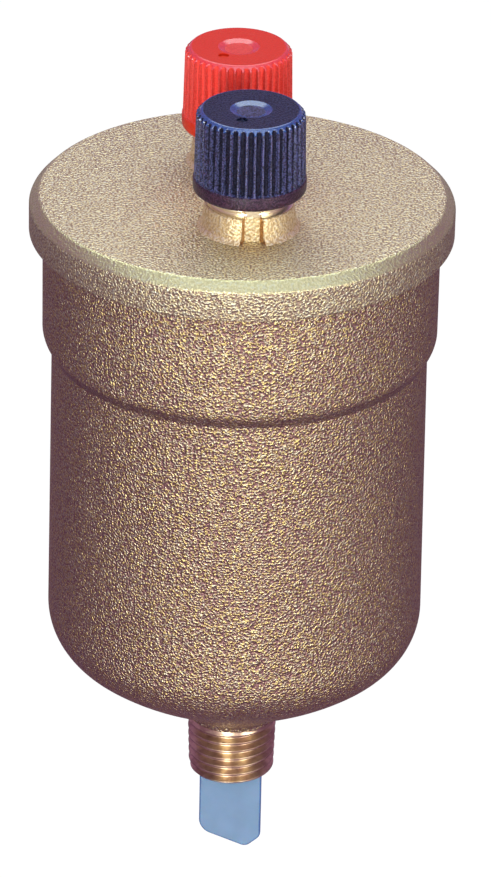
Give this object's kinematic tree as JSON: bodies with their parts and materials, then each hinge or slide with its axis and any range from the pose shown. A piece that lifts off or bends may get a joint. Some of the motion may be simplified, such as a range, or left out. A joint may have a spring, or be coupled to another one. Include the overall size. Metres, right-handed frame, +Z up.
{
  "type": "air release valve",
  "caption": "Float-operated brass air release valve with a screwed cover, a dark automatic vent cap, a red manual vent cap, a taper thread inlet and a drain tongue.",
  "frame": {"origin": "on the axis of the inlet thread, at its hand-tight plane", "axes": "+Z up along the valve axis, the automatic vent port towards -Y and the manual vent port towards +Y"},
  "size_m": [0.0635, 0.0634, 0.1316],
  "materials": {
    "cast_brass": "rough cast and blasted",
    "machined_brass": "turned",
    "dark_cap_plastic": "moulded",
    "red_cap_plastic": "moulded",
    "black_rubber": "matte",
    "fibre_red": "matte",
    "stainless_sheet": "brushed",
    "float_plastic": "moulded",
    "tongue_plastic": "translucent sheet"
  },
  "bodies": {
    "housing": {"body": "cast_brass", "cover": "cast_brass", "cover_oring": "black_rubber", "seat_nozzle": "machined_brass", "nozzle_washer": "fibre_red", "lever_bracket": "stainless_sheet", "pivot_pin": "stainless_sheet", "pivot_clip": "stainless_sheet", "drain_tongue": "tongue_plastic"},
    "float": {"float_cup": "float_plastic", "float_lid": "float_plastic", "hanger_pin": "stainless_sheet"},
    "lever": {"float_lever": "stainless_sheet"},
    "poppet": {"poppet": "machined_brass", "poppet_seal": "black_rubber", "poppet_pin": "stainless_sheet"},
    "vent_seal": {"vent_cap_seal": "black_rubber"},
    "vent_cap": {"vent_cap": "dark_cap_plastic"},
    "manual_seal": {"manual_cap_seal": "black_rubber"},
    "manual_cap": {"manual_cap": "red_cap_plastic"}
  },
  "joints": [
    {"name": "float_rise", "type": "slide", "parent": "housing", "child": "float", "axis": [0, 0, 1], "range_m": [0, 0.00364]},
    {"name": "lever_tilt", "type": "hinge", "parent": "housing", "child": "lever", "pos_m": [0, -0.0161, 0.07785], "axis": [1, 0, 0], "range_deg": [0, 13]},
    {"name": "poppet_lift", "type": "slide", "parent": "housing", "child": "poppet", "axis": [0, 0, 1], "range_m": [0, 0.00104]},
    {"name": "vent_cap_lift", "type": "slide", "parent": "housing", "child": "vent_seal", "axis": [0, 0, 1], "range_m": [0, 0.003]},
    {"name": "vent_cap_turn", "type": "hinge", "parent": "vent_seal", "child": "vent_cap", "pos_m": [0, -0.0115, 0.1], "axis": [0, 0, 1], "range_deg": [0, 720]},
    {"name": "manual_cap_lift", "type": "slide", "parent": "housing", "child": "manual_seal", "axis": [0, 0, 1], "range_m": [0, 0.003]},
    {"name": "manual_cap_turn", "type": "hinge", "parent": "manual_seal", "child": "manual_cap", "pos_m": [0, 0.0115, 0.1], "axis": [0, 0, 1], "range_deg": [0, 720]}
  ],
  "couplings": [
    {"joint": "float_rise", "follows": "lever_tilt", "m_per_rad": 0.016065},
    {"joint": "poppet_lift", "follows": "lever_tilt", "m_per_rad": 0.0045901},
    {"joint": "vent_cap_lift", "follows": "vent_cap_turn", "m_per_rad": 0.00023873},
    {"joint": "manual_cap_lift", "follows": "manual_cap_turn", "m_per_rad": 0.00023873}
  ]
}
